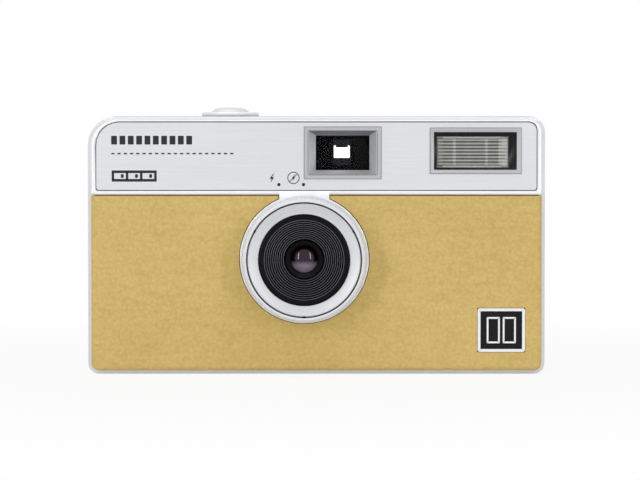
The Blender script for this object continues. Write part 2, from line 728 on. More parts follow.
# ---------------------------------------------------------------- casing
def build_body_band():
    """The middle casing: a ring with the crank's well in its top and the controls' openings."""
    band = facing_front(body_outline(0), Y_SEAM, Y_BODY_REAR)
    well = rod(WELL_RADIUS + WELL_FLOOR, (CASSETTE_X, CASSETTE_Y, Z_WELL - WELL_FLOOR), WELL_DEPTH, sides=48)
    hollow = facing_front(body_outline(WALL), Y_SEAM - THROUGH, Y_REAR)
    rear_top = box((-X_SIDE * 2, Y_REAR_TOP_FRONT - RUNNING, Z_DECK), (X_SIDE * 2, Y_REAR, Z_TOP * 2))
    cut(band, hollow, rear_top)
    join(band, well)
    cut(
        band,
        rod(WELL_RADIUS, (CASSETTE_X, CASSETTE_Y, Z_WELL), FAR, sides=48),
        rod(REWIND_SHAFT + RUNNING, (CASSETTE_X, CASSETTE_Y, Z_WELL - FAR / 2), FAR),
        rod(BUTTON_RADIUS + BUTTON_HOLE_WALL, (BUTTON_X, BUTTON_Y, Z_TOP - 4 * THROUGH), FAR / 2, sides=32),
        rod(COUNTER_WINDOW + SEAT, (SPOOL_X, SPOOL_Y - COUNTER_OFFSET, Z_TOP - 4 * THROUGH), FAR / 2),
        rod(RELEASE_RADIUS + RUNNING, (SPROCKET_X, SPROCKET_Y, -THROUGH), 4 * THROUGH),
        cell_door_opening(-THROUGH, WALL + THROUGH),
        latch_slot(),
        strap_opening(-X_SIDE - THROUGH, -X_CHASSIS),
        rod(HINGE_RADIUS + RUNNING, (HINGE_X, HINGE_Y, -THROUGH), Z_TOP - 8 * THROUGH),
        box((-X_SIDE - THROUGH, HINGE_Y - HINGE_RADIUS - RUNNING, -THROUGH),
            (HINGE_X + HINGE_RADIUS + RUNNING, Y_REAR, Z_DECK + THROUGH)),
    )
    for x, y in BASE_SCREWS:
        cut(
            band,
            rod(SCREW_SHANK + SEAT, (x, y, -THROUGH), FAR / 2, sides=16),
            rod(SCREW_HEAD + SEAT, (x, y, -THROUGH), THROUGH + SCREW_HEAD_THICK + SEAT, sides=20),
        )
    lows = knuckle_starts()
    for low in lows:
        knuckle = rod(HINGE_RADIUS, (HINGE_X, HINGE_Y, low), KNUCKLE, sides=20)
        web = box((-X_SIDE + SEAT / 2, HINGE_Y - HINGE_RADIUS - THROUGH, low),
                  (HINGE_X + HINGE_RADIUS / 2, HINGE_Y, low + KNUCKLE))
        join(band, knuckle, web)
    bore_length = lows[1] - lows[0] + KNUCKLE + 2 * THROUGH
    cut(band, rod(HINGE_PIN + SEAT / 2, (HINGE_X, HINGE_Y, lows[0] - THROUGH), bore_length, sides=12))
    piece("body_band", band, "silver")


def knuckle_starts():
    """The lower ends of the two hinge knuckles on the casing."""
    return (Z_DOOR + KNUCKLE_FROM_END, Z_DOOR_TOP - KNUCKLE_FROM_END - KNUCKLE)


def latch_low():
    """The latch slider's rear-lower corner in the side view: (Y, Z)."""
    return (Y_BODY_REAR - LATCH_FROM_REAR - LATCH_SIZE[0], LENS_Z - LATCH_SIZE[1] / 2)


def latch_slot():
    """The slot in the side wall that the latch slider moves in."""
    y, z = latch_low()
    return box((X_SIDE - 3 * THROUGH, y - RUNNING, z - LATCH_TRAVEL - RUNNING),
               (X_SIDE + THROUGH, y + LATCH_SIZE[0] + RUNNING, z + LATCH_SIZE[1] + RUNNING))


def strap_opening(x_low, x_high):
    """The opening that the wrist strap goes into."""
    y = Y_LIP + RUNNING
    z = Z_DECK - STRAP_FROM_DECK - STRAP_GAP[1]
    return box((x_low, y, z), (x_high, y + STRAP_GAP[0], z + STRAP_GAP[1]))


def cell_door_opening(z_low, z_high):
    """The opening of the battery compartment, with room behind it for the door's hinge."""
    half = CELL_DOOR[0] / 2 + SEAT
    y_front = CELL_Y - CELL_RADIUS - CELL_ROOM - SEAT
    y_rear = y_front + CELL_DOOR[1] + CELL_HINGE_ROOM
    return box((CELL_X - half, y_front, z_low), (CELL_X + half, y_rear, z_high))


def build_rear_top_cover():
    """The black cap behind the brow, over the wheel and the eyepiece."""
    radii = [SHARP, SHARP, CORNER_TOP_RIGHT, CORNER_TOP_LEFT]
    low = Z_DECK + RUNNING
    outline = rounded_rectangle((-X_SIDE, low), (X_SIDE, Z_TOP), radii)
    cap = facing_front(outline, Y_REAR_TOP_FRONT - 3 * EDGE_ROUND, Y_REAR_TOP, EDGE_ROUND)
    radii = [SHARP, SHARP, CORNER_TOP_RIGHT - WALL, CORNER_TOP_LEFT - WALL]
    inner = rounded_rectangle((-X_SIDE + WALL, low + WALL * 0.75), (X_SIDE - WALL, Z_TOP - WALL), radii)
    hollow = facing_front(inner, Y_REAR_TOP_FRONT - FAR / 2, Y_REAR_TOP - WALL)
    front = box((-X_SIDE * 2, -Y_REAR, 0), (X_SIDE * 2, Y_REAR_TOP_FRONT, Z_TOP * 2))
    at = (FINDER_X, Z_TUNNEL)
    tunnel = window_block(at, FINDER_TUNNEL, 0, Y_REAR_TOP - WALL - SEAT, TUNNEL_WALL + RUNNING)
    eyepiece = window_block(at, EYEPIECE, 0, Y_REAR * 2, EYEPIECE_THROAT + SEAT)
    wheel_top = Z_WHEEL + WHEEL_THICK + RUNNING
    wheel = rod(WHEEL_RADIUS + 2 * RUNNING, (SPOOL_X, SPOOL_Y, FAR / 2), wheel_top - FAR / 2, sides=64)
    lamp = rod(LAMP_RADIUS + SEAT, (lamp_x(), 0, Z_TUNNEL), Y_REAR * 2, "Y")
    piece("rear_top_cover", cut(cap, hollow, front, tunnel, eyepiece, wheel, lamp), "black")


def lamp_x():
    """The ready lamp's place beside the eyepiece."""
    return FINDER_X + EYEPIECE[0] / 2 + EYEPIECE_FLANGE + LAMP_RADIUS + LAMP_GAP


def build_chassis():
    """The inner frame: film chambers, gate, dark box and the deck that carries the top works."""
    radii = [CORNER_BOTTOM - LIP_INSET, CORNER_BOTTOM - LIP_INSET, SHARP, SHARP]
    outline = rounded_rectangle((-X_CHASSIS, Z_CHASSIS), (X_CHASSIS, Z_DECK), radii)
    rear = facing_front(outline, Y_LIP + SEAT, Y_BODY_REAR)
    front = box((-X_CHASSIS_FRONT, Y_COVER_INSIDE + SEAT, INSIDE_INSET + SEAT),
                (X_CHASSIS_FRONT, Y_LIP + THROUGH, Z_DECK))
    pillar = box((lever_x() - PILLAR_HALF, BUTTON_Y - PILLAR_FRONT, Z_DECK - THROUGH),
                 (lever_x() + PILLAR_HALF, BUTTON_Y - PILLAR_REAR, Z_LEVER + PILLAR_RISE))
    pin_start = (lever_x(), BUTTON_Y - LEVER_WIDTH, Z_LEVER + LEVER_THICK / 2)
    pin = rod(BLADE_PIN, pin_start, LEVER_PIN_LENGTH, "Y", 12)
    chassis = join(rear, front, pillar, pin)
    channel = FILM_CHANNEL / 2
    mouth = CHAMBER_RADIUS - SEAT
    spool_mouth = SPOOL_CHAMBER_RADIUS - SEAT
    y_mouth = Y_DARK_BOX - THROUGH
    dark_box = frustum((LENS_X, LENS_Z), (DARK_BOX_MOUTH, DARK_BOX_MOUTH), y_mouth, GATE, Y_FILM + THROUGH)
    cut(
        chassis,
        rod(CHAMBER_RADIUS, (CASSETTE_X, CASSETTE_Y, Z_CHAMBER), CHAMBER_HEIGHT, sides=48),
        box((CASSETTE_X - mouth, CASSETTE_Y, Z_CHAMBER), (CASSETTE_X + mouth, Y_REAR, Z_CHAMBER_TOP)),
        rod(SPOOL_CHAMBER_RADIUS, (SPOOL_X, SPOOL_Y, Z_CHAMBER), CHAMBER_HEIGHT, sides=40),
        box((SPOOL_X - spool_mouth, SPOOL_Y, Z_CHAMBER), (SPOOL_X + spool_mouth, Y_REAR, Z_CHAMBER_TOP)),
        rod(SPROCKET_RADIUS + SPROCKET_TOOTH + RUNNING, (SPROCKET_X, SPROCKET_Y, Z_CHAMBER), CHAMBER_HEIGHT,
            sides=32),
        box((SPOOL_X, Y_FILM, LENS_Z - channel), (CASSETTE_X, Y_REAR, LENS_Z + channel)),
        box((-X_CHASSIS - THROUGH, HINGE_Y - HINGE_RADIUS - 2 * THROUGH, 0),
            (HINGE_X + HINGE_RADIUS + THROUGH, Y_REAR, Z_TOP)),
        dark_box,
    )
    lens_room = FLANGE_RADIUS + LENS_ROOM
    cut(
        chassis,
        box((LENS_X - lens_room, Y_FACE, Z_CHASSIS + THROUGH), (LENS_X + lens_room, Y_DARK_BOX, Z_TOP)),
        box((-X_CHASSIS, Y_FACE, Z_CHASSIS + FLOOR_WALL),
            (SPOOL_X + FRONT_ROOM[0], Y_LIP, Z_DECK - FRONT_ROOM[1])),
        box((LENS_X + MIDDLE_ROOM_X, Y_DARK_BOX - THROUGH, Z_CHASSIS + FLOOR_WALL),
            (CELL_X - CELL_RADIUS, 0.0, Z_DECK - DECK_WALL)),
        box((CELL_X - REAR_ROOM[0], CELL_Y + CELL_RADIUS, Z_CHASSIS + DECK_WALL),
            (CELL_X + REAR_ROOM[1], Y_FILM - FILM_WALL, Z_DECK - DECK_WALL)),
        rod(CELL_RADIUS + CELL_ROOM, (CELL_X, CELL_Y, 0), Z_CELL_TOP + CELL_NUB + CONTACT_ROOM, sides=32),
        cell_door_opening(0, Z_CELL),
        rod(SPOOL_SHAFT + RUNNING, (SPOOL_X, SPOOL_Y, Z_DECK - FAR / 2), FAR),
        rod(SPOOL_PIVOT + RUNNING, (SPOOL_X, SPOOL_Y, Z_CHAMBER - SPOOL_PIVOT_DEEP - 2 * SEAT), FAR / 2),
        rod(SPROCKET_SHAFT + RUNNING, (SPROCKET_X, SPROCKET_Y, Z_CHAMBER - SHAFT_SEAT), 4 * FAR),
        rod(RELEASE_RADIUS + THROUGH, (SPROCKET_X, SPROCKET_Y, 0), Z_CHAMBER - RELEASE_ROOM),
        rod(RELEASE_RADIUS - RUNNING, (SPROCKET_X, SPROCKET_Y, 0), Z_CHAMBER),
        rod(REWIND_SHAFT + RUNNING, (CASSETTE_X, CASSETTE_Y, Z_DECK - FAR / 2), FAR),
        strap_opening(-X_CHASSIS - THROUGH, -X_CHASSIS + STRAP_ROOM),
        rod(STRAP_BAR + SEAT, strap_bar_place(), STRAP_GAP[1] + STRAP_BAR_ENDS, sides=16),
        latch_room(),
        window_block(FINDER_AT, FINDER_FRAME, Y_FACE, Y_SEAM + FINDER_ROOM, RUNNING),
        window_block(FLASH_AT, FLASH_FRAME, Y_FACE, Y_SEAM + REFLECTOR_DEPTH * 0.6, RUNNING),
    )
    for x, y in BASE_SCREWS:
        cut(chassis, rod(SCREW_SHANK + SEAT, (x, y, -THROUGH), BASE_SCREW_HOLE, sides=16))
    piece("chassis", chassis, "black")


def lever_x():
    """Where the release lever pivots."""
    return BUTTON_X + LEVER_REACH


def strap_bar_place():
    """The lower end of the strap's bar."""
    z = Z_DECK - STRAP_FROM_DECK - STRAP_GAP[1] - STRAP_BAR_ENDS / 2
    return (-X_CHASSIS + STRAP_BAR_IN, Y_LIP + RUNNING + STRAP_GAP[0] / 2, z)


def latch_room():
    """The space in the chassis for the latch's tongue and the door's hook."""
    y, z = latch_low()
    return box((X_CHASSIS - LATCH_ROOM, y - RUNNING, z - LATCH_TRAVEL - RUNNING),
               (X_CHASSIS + THROUGH, Y_REAR, z + LATCH_SIZE[1] + RUNNING))


# ---------------------------------------------------------------- finder and flash
def build_viewfinder():
    """The finder: bevelled front frame, negative front lens, tunnel, positive eyepiece lens and its frame."""
    y_straight = Y_FRAME + FINDER_SLOPE
    y_throat = y_straight + FINDER_LENS_THICK + 2 * SEAT
    frame = window_block(FINDER_AT, FINDER_FRAME, Y_FRAME, Y_FRAME_BACK)
    join(frame, window_block(FINDER_AT, FINDER_THROAT, Y_FRAME_BACK - SEAT, y_throat))
    slope = frustum(FINDER_AT, FINDER_RIM, Y_FRAME - SEAT, FINDER_OPENING, y_straight)
    window = window_block(FINDER_AT, FINDER_OPENING, y_straight - SEAT, Y_REAR)
    piece("viewfinder_frame", cut(frame, slope, window), "silver")

    lens = window_block(FINDER_AT, FINDER_OPENING, y_straight + SEAT, y_throat - SEAT, -SEAT)
    piece("viewfinder_front_lens", lens, "clear")

    at = (FINDER_X, Z_TUNNEL)
    y_flange = y_throat + RUNNING
    y_end = Y_REAR_TOP - WALL - RUNNING
    tunnel = window_block(at, FINDER_TUNNEL, y_flange, y_end, TUNNEL_WALL)
    flange = box((FINDER_X - FINDER_RIM[0] / 2, y_flange, Z_DECK + RUNNING),
                 (FINDER_X + FINDER_RIM[0] / 2, y_flange + TUNNEL_WALL, Z_TOP - INSIDE_INSET - RUNNING))
    join(tunnel, flange)
    cut(tunnel, window_block(at, FINDER_TUNNEL, y_flange - THROUGH, y_end + THROUGH))
    piece("viewfinder_tunnel", tunnel, "black")

    frame = window_block(at, EYEPIECE, Y_REAR_TOP + SEAT, Y_REAR - SEAT, EYEPIECE_FLANGE)
    join(frame, window_block(at, EYEPIECE, Y_REAR_TOP - WALL, Y_REAR_TOP + 2 * SEAT, EYEPIECE_THROAT))
    cut(frame, window_block(at, EYEPIECE, 0, Y_REAR * 2))
    piece("eyepiece_frame", frame, "black")
    lens = window_block(at, EYEPIECE, Y_REAR_TOP - WALL + SEAT, Y_REAR_TOP - SEAT, -SEAT)
    piece("eyepiece_lens", lens, "clear")

    lamp = rod(LAMP_RADIUS, (lamp_x(), Y_REAR_TOP - LAMP_BEHIND, Z_TUNNEL), LAMP_LENGTH, "Y", 20)
    piece("ready_lamp", lamp, "lamp")


def build_flash():
    """The flash: dark frame, ribbed window, reflector trough, gas tube and the circuit that charges it."""
    y_straight = Y_FRAME + FLASH_SLOPE
    y_throat = Y_SEAM
    frame = window_block(FLASH_AT, FLASH_FRAME, Y_FRAME, Y_FRAME_BACK)
    join(frame, window_block(FLASH_AT, FLASH_THROAT, Y_FRAME_BACK - SEAT, y_throat))
    slope = frustum(FLASH_AT, FLASH_RIM, Y_FRAME - SEAT, FLASH_WINDOW, y_straight, FLASH_WINDOW_SHIFT)
    window = window_block(FLASH_WINDOW_AT, FLASH_WINDOW, y_straight - SEAT, Y_REAR)
    piece("flash_frame", cut(frame, slope, window), "gloss_black")
    piece("flash_window", build_flash_window(y_straight + SEAT, y_throat - RUNNING), "clear")

    y_mouth = y_throat + SEAT
    outer = reflector_profile(REFLECTOR[1] / 2 + REFLECTOR_WALL, y_mouth, REFLECTOR_DEPTH + REFLECTOR_WALL)
    inner = reflector_profile(REFLECTOR[1] / 2, y_mouth - THROUGH / 4, REFLECTOR_DEPTH + THROUGH / 4)
    x_low = FLASH_WINDOW_AT[0] - REFLECTOR[0] / 2
    x_high = FLASH_WINDOW_AT[0] + REFLECTOR[0] / 2
    trough = facing_side(outer, x_low - REFLECTOR_WALL, x_high + REFLECTOR_WALL)
    cut(trough, facing_side(inner, x_low, x_high))
    tube_y = y_mouth + REFLECTOR_DEPTH * 0.55
    place = (x_low - TUBE_ENDS, tube_y, FLASH_WINDOW_AT[1])
    length = REFLECTOR[0] + 2 * TUBE_ENDS
    bore_start = (place[0] - THROUGH, *place[1:])
    cut(trough, rod(FLASH_TUBE_RADIUS + SEAT, bore_start, length + 2 * THROUGH, "X", 16))
    piece("flash_reflector", trough, "mirror")
    piece("flash_tube", rod(FLASH_TUBE_RADIUS, place, length, "X", 16), "clear")

    y_board = Y_REAR_TOP_FRONT - BOARD_FROM_REAR
    board = box((CASSETTE_X - BOARD_LEFT, tube_y + BOARD_FROM_TUBE, Z_DECK + RUNNING),
                (X_SIDE - BOARD_FROM_SIDE, y_board, Z_DECK + RUNNING + BOARD_THICK))
    cut(board, rod(REWIND_SHAFT + THROUGH, (CASSETTE_X, CASSETTE_Y, Z_DECK), 4 * THROUGH))
    piece("flash_circuit_board", board, "board")
    z = Z_DECK + 2 * RUNNING + BOARD_THICK
    coil_start = (CASSETTE_X + CORE_X, Y_REAR_TOP_FRONT - 2 * WINDING_RADIUS, z + WINDING_RADIUS)
    coil = rod(WINDING_RADIUS, coil_start, WINDING_LENGTH, "X", 20)
    for end in CORE_ENDS:
        x = CASSETTE_X + end
        core = box((x, y_board - CORE_SIZE[1], z), (x + CORE_SIZE[0], y_board, z + CORE_SIZE[2]))
        join(coil, core)
    piece("flash_transformer", coil, "copper")
    x = (CELL_X + CASSETTE_X - WELL_RADIUS) / 2 - CAPACITOR_LEFT
    place = (x, Y_LIP + RUNNING, Z_DECK + RUNNING + CAPACITOR_RADIUS)
    piece("flash_capacitor", rod(CAPACITOR_RADIUS, place, CAPACITOR_LENGTH, "Y", 28), "sleeve")


def build_flash_window(y_front, y_rear):
    """The flash's clear cover, with level ribs on its front."""
    size = (FLASH_WINDOW[0] - 2 * SEAT, FLASH_WINDOW[1] - 2 * SEAT)
    window = window_block(FLASH_WINDOW_AT, size, y_front + RIB_RISE, y_rear)
    ribs = 8
    pitch = size[1] / ribs
    for n in range(ribs):
        z = FLASH_WINDOW_AT[1] - size[1] / 2 + (n + 0.5) * pitch
        half = size[0] / 2
        join(window, box((FLASH_WINDOW_AT[0] - half, y_front, z - pitch * 0.3),
                         (FLASH_WINDOW_AT[0] + half, y_front + 2 * RIB_RISE, z + pitch * 0.3)))
    return window


def reflector_profile(half_height, y_mouth, depth, steps=8):
    """A parabola's (y, z) points, from one lip round the back to the other."""
    points = []
    for n in range(-steps, steps + 1):
        share = n / steps
        points.append((y_mouth + depth * (1 - share * share), FLASH_WINDOW_AT[1] + half_height * share))
    return points


# ---------------------------------------------------------------- lens and shutter
def build_lens():
    """The objective: housing tube, bezel, stepped cone, barrel with two lenses and a fixed stop."""
    bore = TUBE_RADIUS - TUBE_WALL
    hold = BARREL_RADIUS + SEAT
    housing = turned_forward(
        [
            (TUBE_RADIUS, Y_TUBE),
            (TUBE_RADIUS, Y_FLANGE),
            (FLANGE_RADIUS, Y_FLANGE),
            (FLANGE_RADIUS, Y_TUBE_REAR),
            (hold, Y_TUBE_REAR),
            (hold, Y_TUBE_FLOOR),
            (bore, Y_TUBE_FLOOR),
            (bore, Y_TUBE),
        ],
        40,
    )
    for n, angle in enumerate(SPOKES):
        x = LENS_X + RING_SCREW_CIRCLE * math.cos(angle)
        z = LENS_Z + RING_SCREW_CIRCLE * math.sin(angle)
        cut(housing, rod(RING_SCREW_BORE, (x, Y_FLANGE - THROUGH, z), 5 * THROUGH, "Y", 12))
        y_tip = Y_COVER_INSIDE - RING_SCREW_TIP
        screw = rod(RING_SCREW_SHANK, (x, y_tip, z), Y_TUBE_REAR + 2 * SEAT - y_tip, "Y", 12)
        join(screw, rod(RING_SCREW_HEAD, (x, Y_TUBE_REAR + SEAT, z), RING_SCREW_HEAD_THICK, "Y", 14))
        piece(f"lens_screw_{n + 1}", screw, "steel")
    piece("lens_housing", housing, "black")

    bezel = turned_forward(
        [
            (TUBE_RADIUS - SEAT, Y_BEZEL),
            (TUBE_RADIUS, Y_BEZEL + SEAT),
            (TUBE_RADIUS, Y_TUBE - SEAT / 2),
            (bore - SEAT / 2, Y_TUBE - SEAT / 2),
            (bore - SEAT / 2, Y_TUBE + BEZEL_STEP),
            (BEZEL_BORE, Y_TUBE + BEZEL_STEP),
            (BEZEL_BORE, Y_BEZEL + BEZEL_STEP + SEAT),
            (BEZEL_BORE + SEAT, Y_BEZEL + BEZEL_STEP),
        ],
        48,
    )
    piece("lens_bezel", bezel, "silver")

    y_foot = Y_TUBE + BEZEL_STEP + SEAT
    profile = [
        (BEZEL_BORE - SEAT, Y_CONE),
        (BEZEL_BORE - SEAT, y_foot),
        (bore - SEAT, y_foot),
        (bore - SEAT, y_foot + CONE_FLANGE),
        (CONE_RADIUS + CONE_WALL / 2, y_foot + CONE_FLANGE),
        (CONE_END_RADIUS + CONE_WALL, Y_CONE_STEPS_END),
        (CONE_END_RADIUS + CONE_WALL / 2, Y_CONE_END),
        (GLASS_RADIUS + SEAT / 2, Y_CONE_END),
        (CONE_END_RADIUS, Y_CONE_STEPS_END),
    ]
    step_radius = (CONE_RADIUS - CONE_END_RADIUS) / CONE_STEPS
    step_depth = (CONE_DEPTH - CONE_LAND) / CONE_STEPS
    for n in range(CONE_STEPS):
        radius = CONE_END_RADIUS + step_radius * (n + 1)
        profile.append((radius, Y_CONE_STEPS_END - step_depth * n))
        if n < CONE_STEPS - 1:
            profile.append((radius, Y_CONE_STEPS_END - step_depth * (n + 1)))
    profile.append((CONE_RADIUS, Y_CONE))
    piece("lens_cone", turned_forward(profile, 24), "gloss_black")

    seat = GLASS_RADIUS + SEAT / 2
    ledge = GLASS_RADIUS - LENS_LEDGE
    barrel = turned_forward(
        [
            (BARREL_RADIUS, Y_BARREL),
            (BARREL_RADIUS, Y_BARREL_REAR),
            (seat, Y_BARREL_REAR),
            (seat, Y_LEDGE + LEDGE),
            (ledge, Y_LEDGE + LEDGE),
            (ledge, Y_LEDGE),
            (seat, Y_LEDGE),
            (seat, Y_BARREL),
        ],
        24,
    )
    piece("lens_barrel", barrel, "black")
    piece("front_lens", build_glass(Y_BARREL + GLASS_CROWN, Y_FRONT_LENS_REAR, GLASS_CROWN), "clear")
    stop = turned_forward(
        [
            (GLASS_RADIUS, Y_FRONT_LENS_REAR + SEAT),
            (GLASS_RADIUS, Y_FRONT_LENS_REAR + SEAT + PLATE_SHEET),
            (APERTURE_RADIUS, Y_FRONT_LENS_REAR + SEAT + PLATE_SHEET),
            (APERTURE_RADIUS, Y_FRONT_LENS_REAR + SEAT),
        ],
        24,
    )
    piece("aperture_plate", stop, "black")
    piece("rear_lens", build_glass(Y_REAR_LENS + REAR_CROWN, Y_RETAINER - SEAT, REAR_CROWN), "clear")
    retainer = turned_forward(
        [
            (GLASS_RADIUS, Y_RETAINER),
            (GLASS_RADIUS, Y_RETAINER + RETAINER),
            (GLASS_RADIUS - RETAINER, Y_RETAINER + RETAINER),
            (GLASS_RADIUS - RETAINER, Y_RETAINER),
        ],
        24,
    )
    piece("lens_retaining_ring", retainer, "black")


def build_glass(y_edge, y_rear, crown, steps=4):
    """A lens with a crowned front and a flat back."""
    profile = []
    for n in range(steps + 1):
        share = n / steps
        profile.append((GLASS_RADIUS * share, y_edge - crown * (1 - share * share)))
    profile += [(GLASS_RADIUS, y_rear), (0, y_rear)]
    return turned_forward(profile, 24, closed=False)


def build_switch_ring():
    """The ring around the lens that switches the flash."""
    bore = TUBE_RADIUS + RUNNING
    ring = turned_forward(
        [
            (RING_FRONT_RADIUS - RING_CHAMFER, Y_LENS),
            (RING_FRONT_RADIUS, Y_LENS + RING_CHAMFER),
            (RING_BASE_RADIUS, Y_PLINTH - RUNNING),
            (bore, Y_PLINTH - RUNNING),
            (bore, Y_LENS),
        ],
        48,
    )
    piece("flash_switch_ring", ring, "silver")
    on_joint("flash_ring_axis", (LENS_X, Y_LENS, LENS_Z), [ring])


def build_shutter():
    """The shutter plate with its pin, and the blade that swings on the pin."""
    pivot = (LENS_X, LENS_Z - BLADE_ARM)
    at = (LENS_X, LENS_Z - SHUTTER_DROP)
    plate = window_block(at, SHUTTER_SIZE, Y_SHUTTER, Y_SHUTTER + SHUTTER_THICK)
    join(plate, rod(BLADE_PIN, (pivot[0], Y_BLADE - SEAT, pivot[1]), Y_SHUTTER - Y_BLADE + SEAT * 2, "Y", 16))
    cut(plate, rod(SHUTTER_HOLE, (LENS_X, Y_SHUTTER - THROUGH, LENS_Z), 4 * THROUGH, "Y", 32))
    piece("shutter_plate", plate, "steel")

    blade = rod(BLADE_LOBE, (LENS_X, Y_BLADE, LENS_Z), PLATE_SHEET, "Y", 32)
    join(
        blade,
        box((LENS_X - BLADE_HALF, Y_BLADE, pivot[1]), (LENS_X + BLADE_HALF, Y_BLADE + PLATE_SHEET, LENS_Z)),
        rod(BLADE_EYE, (pivot[0], Y_BLADE, pivot[1]), PLATE_SHEET, "Y", 24),
    )
    cut(blade, rod(BLADE_PIN + SEAT / 2, (pivot[0], Y_BLADE - THROUGH, pivot[1]), 4 * THROUGH, "Y", 16))
    piece("shutter_blade", blade, "steel")
    on_joint("shutter_blade_axis", (pivot[0], Y_BLADE, pivot[1]), [blade])


# ---------------------------------------------------------------- button and release
def build_button():
    """The shutter button in its collar, with its return spring and the lever under its stem."""
    centre = (BUTTON_X, BUTTON_Y)
    z_floor = Z_TOP - WALL
    collar = turned(
        [
            (COLLAR_RADIUS - COLLAR_CHAMFER, Z_TOP + COLLAR_RISE),
            (COLLAR_RADIUS, Z_TOP + COLLAR_RISE - COLLAR_CHAMFER),
            (COLLAR_RADIUS, Z_TOP + SEAT / 2),
            (BUTTON_RADIUS + COLLAR_NECK, Z_TOP + SEAT / 2),
            (BUTTON_RADIUS + COLLAR_NECK, z_floor - COLLAR_FLOOR / 2),
            (STEM_RADIUS + RUNNING, z_floor - COLLAR_FLOOR / 2),
            (STEM_RADIUS + RUNNING, z_floor + COLLAR_FLOOR / 2),
            (BUTTON_RADIUS + RUNNING, z_floor + COLLAR_FLOOR / 2),
            (BUTTON_RADIUS + RUNNING, Z_TOP + COLLAR_RISE),
        ],
        (*centre, 0),
        steps=32,
    )
    piece("button_bezel", collar, "silver")

    z_cap = Z_TOP + BUTTON_RISE
    z_under = z_floor + COLLAR_FLOOR / 2 + BUTTON_TRAVEL + RUNNING
    button = turned(
        [
            (0, z_cap),
            (BUTTON_RADIUS * CROWN_INNER, z_cap - CROWN_DROPS[0]),
            (BUTTON_RADIUS * CROWN_OUTER, z_cap - CROWN_DROPS[1]),
            (BUTTON_RADIUS, z_cap - CROWN_DROPS[2]),
            (BUTTON_RADIUS, z_under),
            (BUTTON_RADIUS - BUTTON_WALL, z_under),
            (BUTTON_RADIUS - BUTTON_WALL, z_cap - BUTTON_ROOF),
            (STEM_RADIUS, z_cap - BUTTON_ROOF),
            (STEM_RADIUS, Z_STEM),
            (0, Z_STEM),
        ],
        (*centre, 0),
        steps=28,
        closed=False,
    )
    piece("shutter_button", button, "silver")

    z_low = z_floor + COLLAR_FLOOR / 2 + RUNNING
    z_high = z_cap - BUTTON_ROOF - RUNNING
    spring = coil((*centre, z_low), z_high, *BUTTON_SPRING)
    piece("button_spring", as_mesh(spring), "steel")
    on_joint("button_axis", (*centre, z_cap), [button])

    z_pin = Z_LEVER + LEVER_THICK / 2
    lever = box((BUTTON_X - STEM_RADIUS, BUTTON_Y - LEVER_WIDTH / 2, Z_LEVER),
                (lever_x() + LEVER_TAIL, BUTTON_Y + LEVER_WIDTH / 2, Z_LEVER + LEVER_THICK))
    join(lever, rod(LEVER_HUB, (lever_x(), BUTTON_Y - LEVER_WIDTH / 2, z_pin), LEVER_WIDTH, "Y", 20))
    cut(lever, rod(BLADE_PIN + SEAT / 2, (lever_x(), BUTTON_Y - 4 * THROUGH, z_pin), 8 * THROUGH, "Y", 12))
    piece("release_lever", lever, "steel")
    on_joint("release_lever_axis", (lever_x(), BUTTON_Y, z_pin), [lever])


def coil(start, z_end, radius, thickness, turns, steps=12):
    """A wire wound upwards around a vertical axis."""
    points = []
    count = turns * steps
    for n in range(count + 1):
        angle = math.tau * n / steps
        z = start[2] + thickness + (z_end - start[2] - 2 * thickness) * n / count
        points.append((start[0] + radius * math.cos(angle), start[1] + radius * math.sin(angle), z))
    return wire(points, thickness)


def as_mesh(curve_object):
    """Turns a wire into a mesh with welded caps."""
    bpy.context.view_layer.update()
    graph = bpy.context.evaluated_depsgraph_get()
    mesh = bpy.data.meshes.new_from_object(curve_object.evaluated_get(graph))
    shape = bmesh.new()
    shape.from_mesh(mesh)
    bmesh.ops.remove_doubles(shape, verts=shape.verts, dist=WELD)
    bmesh.ops.recalc_face_normals(shape, faces=shape.faces)
    shape.to_mesh(mesh)
    shape.free()
    obj = bpy.data.objects.new("wire_mesh", mesh)
    obj.matrix_world = curve_object.matrix_world
    bpy.context.scene.collection.objects.link(obj)
    bpy.data.objects.remove(curve_object)
    return obj


